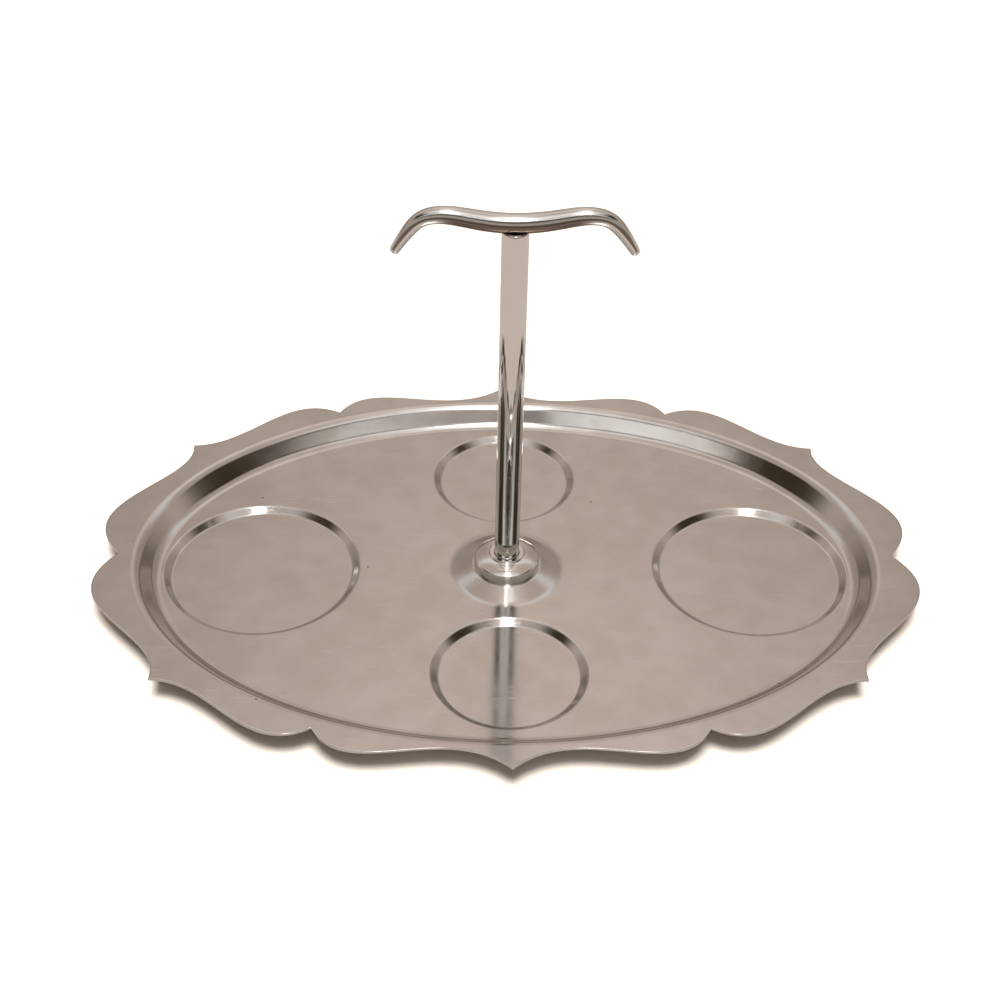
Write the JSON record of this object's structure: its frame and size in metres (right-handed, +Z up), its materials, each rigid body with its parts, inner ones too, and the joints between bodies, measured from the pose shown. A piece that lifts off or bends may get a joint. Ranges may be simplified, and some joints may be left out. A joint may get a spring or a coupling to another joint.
{
  "type": "serving tray with centre handle",
  "caption": "Oval pressed-steel serving tray with a scalloped rim, round recessed seats, a domed collar and a round post with a winged grip bar.",
  "frame": {"origin": "the middle of the tray, on the table surface that it rests on", "axes": "+X along the tray's long axis and the grip bar, +Y across the tray, +Z up along the post"},
  "size_m": [0.3172, 0.223, 0.1642],
  "materials": {
    "tray_steel": "satin stainless sheet, softly polished, with fine handling marks",
    "collar_chrome": "bright chrome plate, lightly worn",
    "post_chrome": "bright chrome plate, lightly worn",
    "grip_chrome": "bright chrome plate, lightly worn",
    "fastener_steel": "zinc-plated steel, dulled",
    "spring_steel": "dark spring steel"
  },
  "bodies": {
    "root": {"tray": "tray_steel", "collar": "collar_chrome", "post": "post_chrome", "grip_bar": "grip_chrome", "grip_stud": "fastener_steel", "clamp_screw": "fastener_steel", "lock_washer": "spring_steel", "plain_washer": "fastener_steel"}
  },
  "joints": []
}
